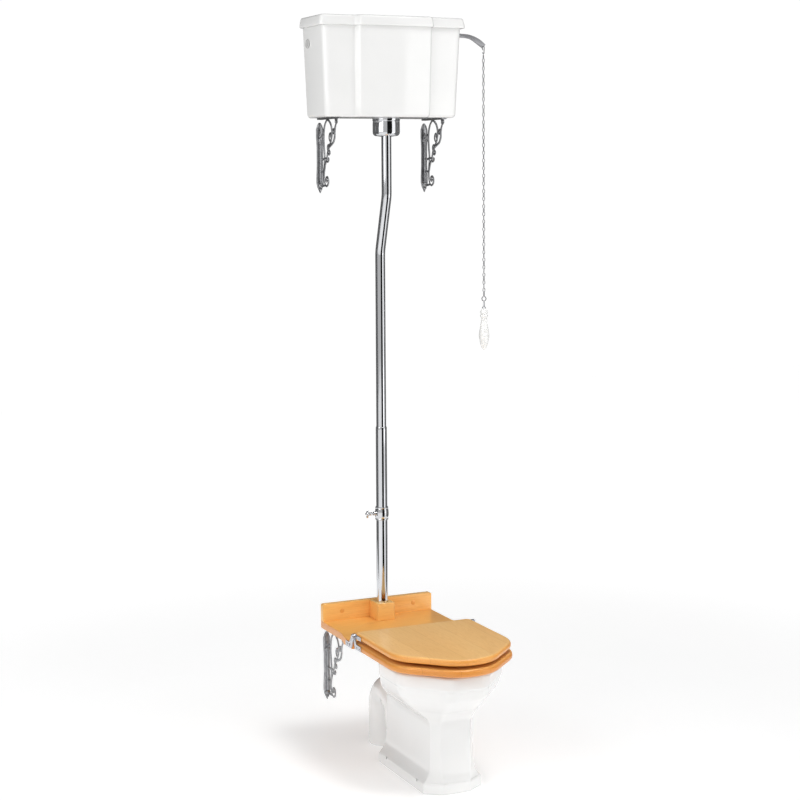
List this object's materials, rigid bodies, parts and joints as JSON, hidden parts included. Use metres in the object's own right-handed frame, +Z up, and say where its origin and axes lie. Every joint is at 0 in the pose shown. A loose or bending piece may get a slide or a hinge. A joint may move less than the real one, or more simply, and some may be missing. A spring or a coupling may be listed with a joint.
{
  "type": "high-level toilet",
  "caption": "Pedestal toilet with a wooden throne seat, flush pipe and high wall cistern on scroll brackets, flushed by a pull chain.",
  "frame": {"origin": "on the floor under the pan foot, on the plane of symmetry of pan and cistern", "axes": "+Z up, +Y towards the wall, -Y the front, +X to the right seen from the front"},
  "size_m": [0.618, 0.72, 2.352],
  "materials": {
    "brass": "satin",
    "buffer_rubber": "matte",
    "ceramic": "gloss",
    "chain_steel": "polished",
    "chrome": "polished",
    "grey_plastic": "matte",
    "hinge_metal": "satin",
    "orange_plastic": "gloss",
    "pewter": "cast, satin",
    "rubber": "matte",
    "white_plastic": "gloss",
    "wood": "satin lacquer",
    "wood_plug": "satin lacquer"
  },
  "bodies": {
    "fixed": {"pan": "ceramic", "pan_inlet_seal": "rubber", "seat_shelf": "wood", "shelf_upstand": "wood", "pipe_block": "wood", "shelf_plugs": "wood_plug", "shelf_bracket_left": "pewter", "shelf_bracket_right": "pewter", "hinge_shelf_plates": "hinge_metal", "hinge_pins": "hinge_metal", "hinge_screws": "hinge_metal", "flush_nut": "chrome", "pipe_cone_washer": "rubber", "upper_flush_pipe": "chrome", "lower_flush_pipe": "chrome", "pipe_collar": "chrome", "cistern": "ceramic", "side_hole_plug": "white_plastic", "cistern_bracket_left": "pewter", "cistern_bracket_right": "pewter", "lever_fulcrum": "brass", "lever_pin": "brass", "siphon": "grey_plastic", "siphon_nut": "grey_plastic", "inlet_valve": "grey_plastic", "inlet_nut": "brass", "float_pin": "brass"},
    "seat": {"seat_ring": "wood", "ring_hinge_straps": "hinge_metal", "ring_buffers": "buffer_rubber"},
    "lid": {"seat_lid": "wood", "lid_hinge_straps": "hinge_metal", "lid_buffers": "buffer_rubber"},
    "cistern_cover": {"cistern_lid": "ceramic"},
    "lever": {"flush_lever": "chrome"},
    "piston": {"siphon_piston": "grey_plastic", "lift_link": "brass"},
    "hook": {"s_hook": "chain_steel"},
    "pull": {"pull_chain": "chain_steel", "handle_ring": "chain_steel", "pull_handle": "ceramic"},
    "float": {"float_arm": "brass", "float_ball": "orange_plastic"},
    "thumbscrew": {"collar_screw": "chrome", "collar_knob": "chrome"}
  },
  "joints": [
    {"name": "seat_hinge", "type": "hinge", "parent": "fixed", "child": "seat", "pos_m": [0, 0.085, 0.43], "axis": [-1, 0, 0], "range_deg": [0, 16]},
    {"name": "lid_hinge", "type": "hinge", "parent": "seat", "child": "lid", "pos_m": [0, 0.085, 0.43], "axis": [-1, 0, 0], "range_deg": [0, 98]},
    {"name": "cistern_lid_lift", "type": "slide", "parent": "fixed", "child": "cistern_cover", "axis": [0, 0, 1], "range_m": [0, 0.15]},
    {"name": "flush_lever", "type": "hinge", "parent": "fixed", "child": "lever", "pos_m": [0.22, 0.272, 2.3], "axis": [0, 1, 0], "range_deg": [0, 13], "stiffness_Nm_per_rad": 0.8, "springref_deg": -51.57},
    {"name": "piston_lift", "type": "slide", "parent": "fixed", "child": "piston", "axis": [0, 0, 1], "range_m": [0, 0.034]},
    {"name": "hook_pivot", "type": "hinge", "parent": "lever", "child": "hook", "pos_m": [0.349, 0.272, 2.27], "axis": [0, 1, 0], "range_deg": [-13.5, 0]},
    {"name": "chain_swing", "type": "hinge", "parent": "hook", "child": "pull", "pos_m": [0.349, 0.272, 2.2495], "axis": [0, 1, 0], "range_deg": [-10, 10]},
    {"name": "float_swing", "type": "hinge", "parent": "fixed", "child": "float", "pos_m": [0.172, 0.34, 2.262], "axis": [0, 1, 0], "range_deg": [0, 28]},
    {"name": "collar_thumbscrew", "type": "hinge", "parent": "fixed", "child": "thumbscrew", "pos_m": [-0.04, 0.325, 0.757], "axis": [-1, 0, 0], "range_deg": [-180, 180]}
  ],
  "couplings": [
    {"joint": "piston_lift", "follows": "flush_lever", "m_per_rad": 0.145},
    {"joint": "hook_pivot", "follows": "flush_lever", "ratio": -1}
  ]
}
